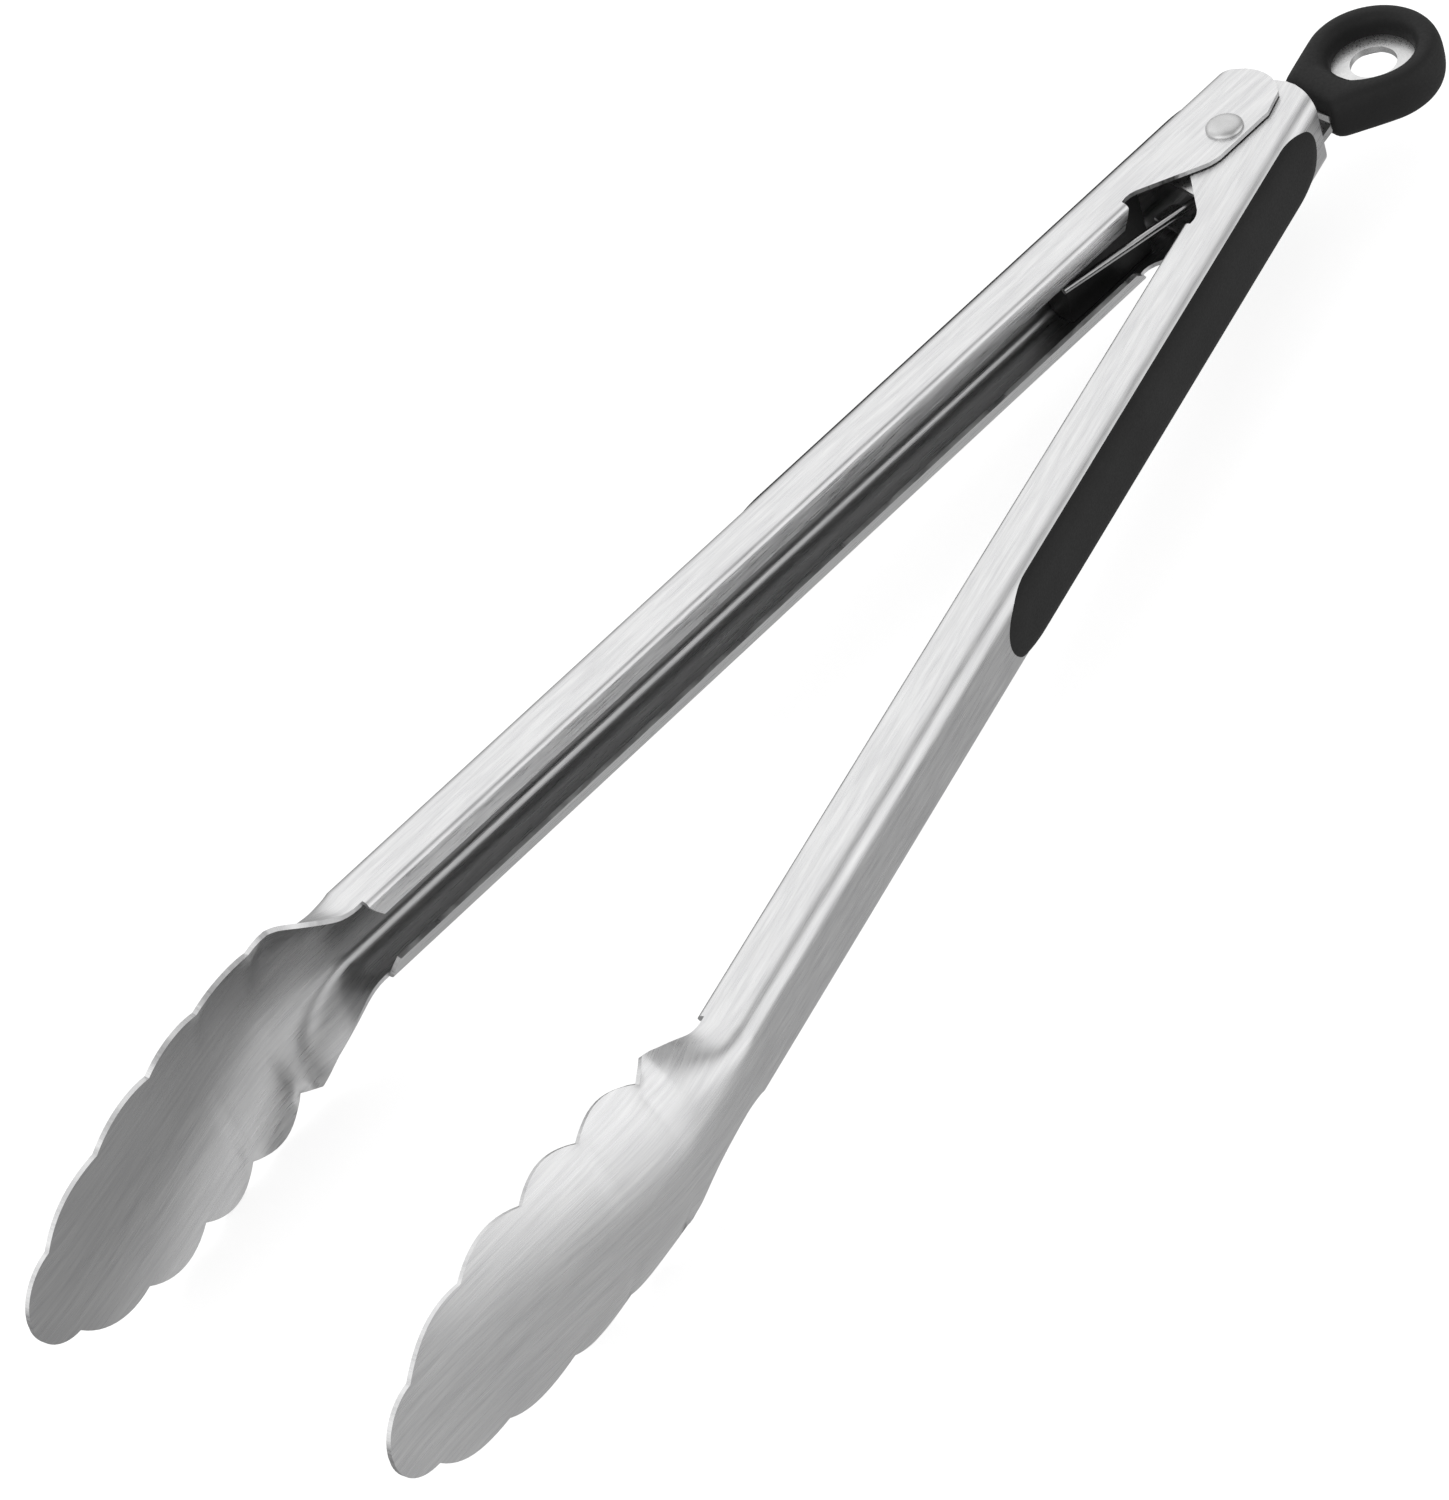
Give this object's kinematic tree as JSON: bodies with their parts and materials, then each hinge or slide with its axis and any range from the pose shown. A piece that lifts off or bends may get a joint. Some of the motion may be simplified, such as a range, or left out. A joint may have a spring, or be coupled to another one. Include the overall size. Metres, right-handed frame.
{
  "type": "kitchen tongs",
  "caption": "Spring-loaded kitchen tongs with two channel arms, dished scalloped heads, soft grips and a pull-ring lock tab.",
  "frame": {"origin": "below the middle of the bounding box, level with the lowest scallops of the heads", "axes": "+Z along the rivet, +X from the heads towards the hanging ring, outer arm on the +Y side"},
  "size_m": [0.3314, 0.0844, 0.037],
  "materials": {
    "brushed_steel": "long-grain brushed stainless sheet",
    "tab_steel": "fine tumbled stainless strip",
    "rivet_steel": "satin domed rivet",
    "spring_wire": "drawn spring wire",
    "soft_grip": "matte soft-touch",
    "soft_ring": "matte silicone",
    "black_nylon": "semi-gloss moulded nylon"
  },
  "bodies": {
    "outer": {"outer_arm": "brushed_steel", "outer_grip": "soft_grip", "hinge_rivet": "rivet_steel", "pivot_bush": "black_nylon", "torsion_spring": "spring_wire", "outer_spring_seat": "black_nylon"},
    "inner": {"inner_arm": "brushed_steel", "inner_grip": "soft_grip", "inner_spring_seat": "black_nylon"},
    "tab": {"pull_tab": "tab_steel", "pull_ring": "soft_ring"}
  },
  "joints": [
    {"name": "arm_hinge", "type": "hinge", "parent": "outer", "child": "inner", "pos_m": [0.12373, 0, 0.0185], "axis": [0, 0, -1], "range_deg": [0, 13], "stiffness_Nm_per_rad": 1.5, "springref_deg": -8.59, "deforming": ["torsion_spring"]},
    {"name": "tab_slide", "type": "slide", "parent": "outer", "child": "tab", "axis": [0.9573, -0.289, 0], "range_m": [0, 0.008]}
  ]
}
